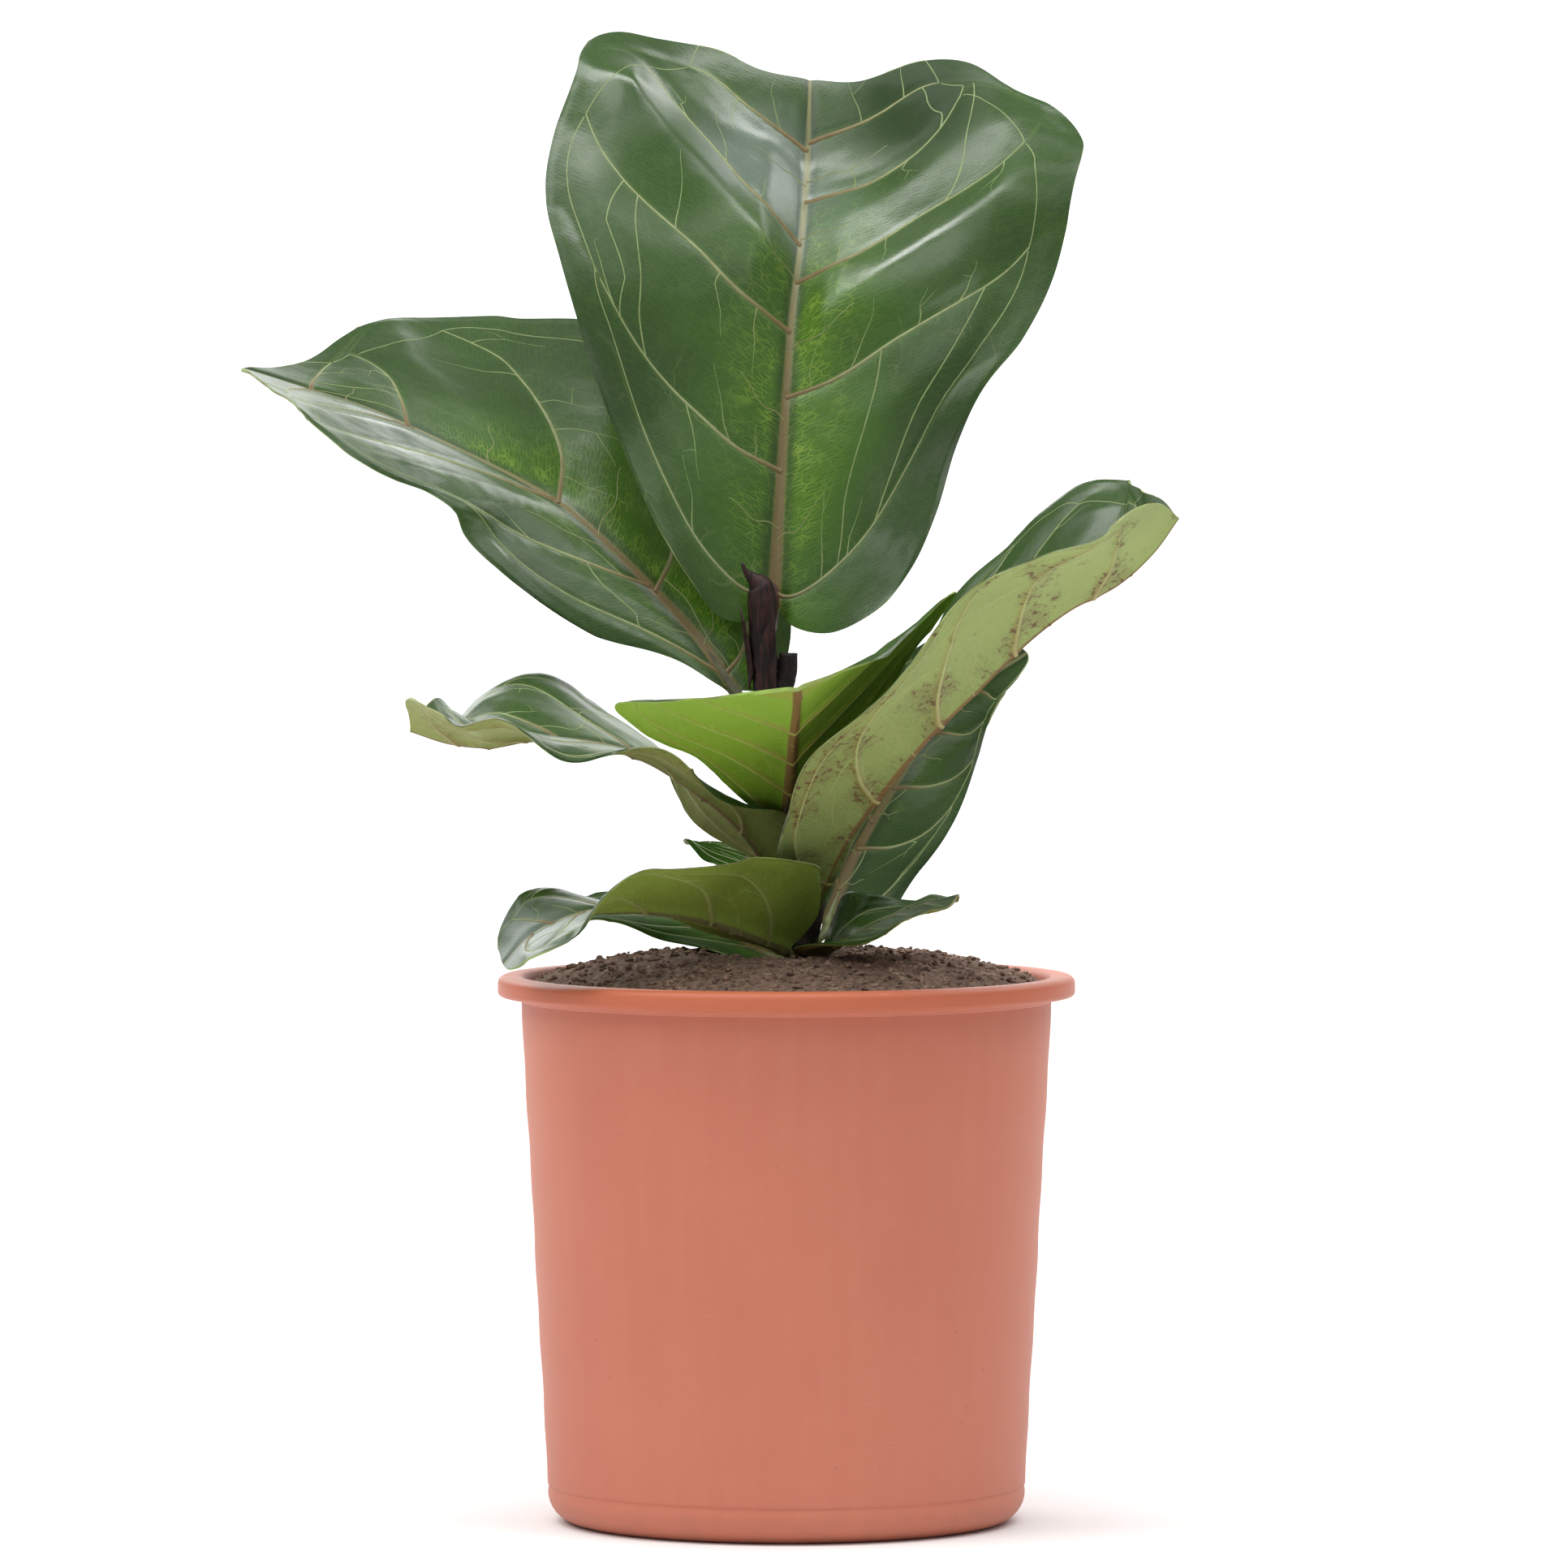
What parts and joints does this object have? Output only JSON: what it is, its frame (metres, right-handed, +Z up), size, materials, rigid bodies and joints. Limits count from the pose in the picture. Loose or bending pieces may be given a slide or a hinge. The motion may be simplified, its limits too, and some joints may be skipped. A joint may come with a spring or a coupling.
{
  "type": "potted fiddle leaf fig",
  "caption": "Young fiddle leaf fig with broad, veined, fiddle-shaped leaves on a short woody stem, in a round tapered plastic nursery pot with a rolled rim, filled with soil.",
  "frame": {"origin": "centre of the pot's flat base, on the surface that the pot stands on", "axes": "+Z up along the pot's axis; the plant's best side, with the large top leaf facing out, looks along -Y"},
  "size_m": [0.3054, 0.2245, 0.4912],
  "materials": {
    "pot": "satin",
    "soil": "matte",
    "stem": "matte",
    "bud_scales": "matte",
    "leaves": "satin"
  },
  "bodies": {
    "root": {"pot": "pot", "soil": "soil", "stem": "stem", "bud_sheath": "bud_scales", "stipule_left": "bud_scales", "stipule_right": "bud_scales", "leaf_top": "leaves", "leaf_left_upper": "leaves", "leaf_front": "leaves", "leaf_right_front": "leaves", "leaf_right_back": "leaves", "leaf_left_mid": "leaves", "leaf_left_low": "leaves", "leaf_left_bottom": "leaves", "leaf_right_low": "leaves", "leaf_back": "leaves"}
  },
  "joints": []
}
